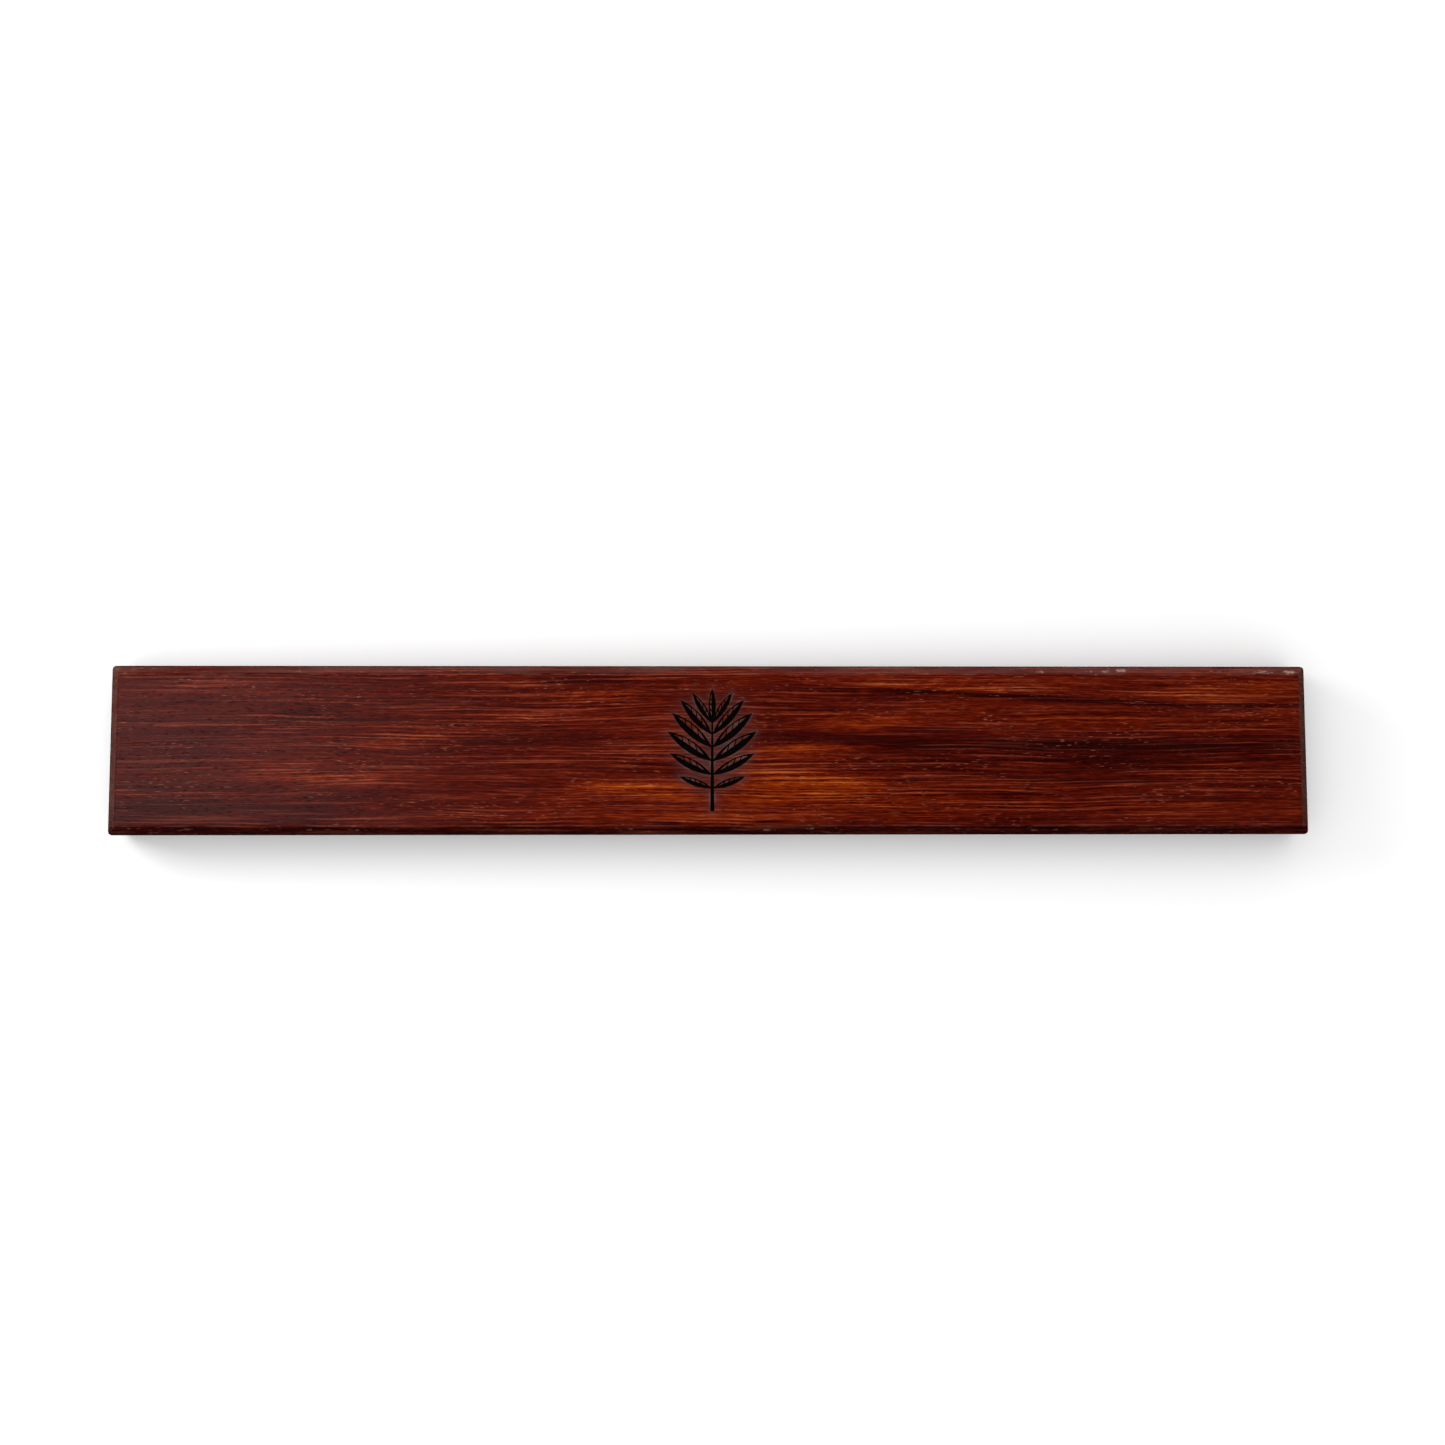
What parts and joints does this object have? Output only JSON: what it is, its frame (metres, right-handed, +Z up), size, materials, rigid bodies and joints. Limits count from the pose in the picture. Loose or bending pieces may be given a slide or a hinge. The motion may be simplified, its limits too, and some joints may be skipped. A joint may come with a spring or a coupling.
{
  "type": "keyboard wrist rest",
  "caption": "Long narrow hardwood board with bevelled upper edges, a shallow engraved leaf and small rubber feet, for resting the wrists in front of a keyboard.",
  "frame": {"origin": "on the desk plane under the centre of the board, where the undersides of the feet lie", "axes": "+X along the board's length to the user's right, +Y across it towards the keyboard, +Z up; the user's arms come from -Y"},
  "size_m": [0.44, 0.062, 0.0192],
  "materials": {
    "oiled_hardwood": "satin oil on dark red-brown straight-grained hardwood",
    "silicone_foot": "matte moulded silicone",
    "adhesive_film": "acrylic double-sided tape"
  },
  "bodies": {
    "root": {"wood_board": "oiled_hardwood", "foot_front_left": "silicone_foot", "foot_front_centre": "silicone_foot", "foot_front_right": "silicone_foot", "foot_back_left": "silicone_foot", "foot_back_centre": "silicone_foot", "foot_back_right": "silicone_foot", "foot_adhesive_front_left": "adhesive_film", "foot_adhesive_front_centre": "adhesive_film", "foot_adhesive_front_right": "adhesive_film", "foot_adhesive_back_left": "adhesive_film", "foot_adhesive_back_centre": "adhesive_film", "foot_adhesive_back_right": "adhesive_film"}
  },
  "joints": []
}
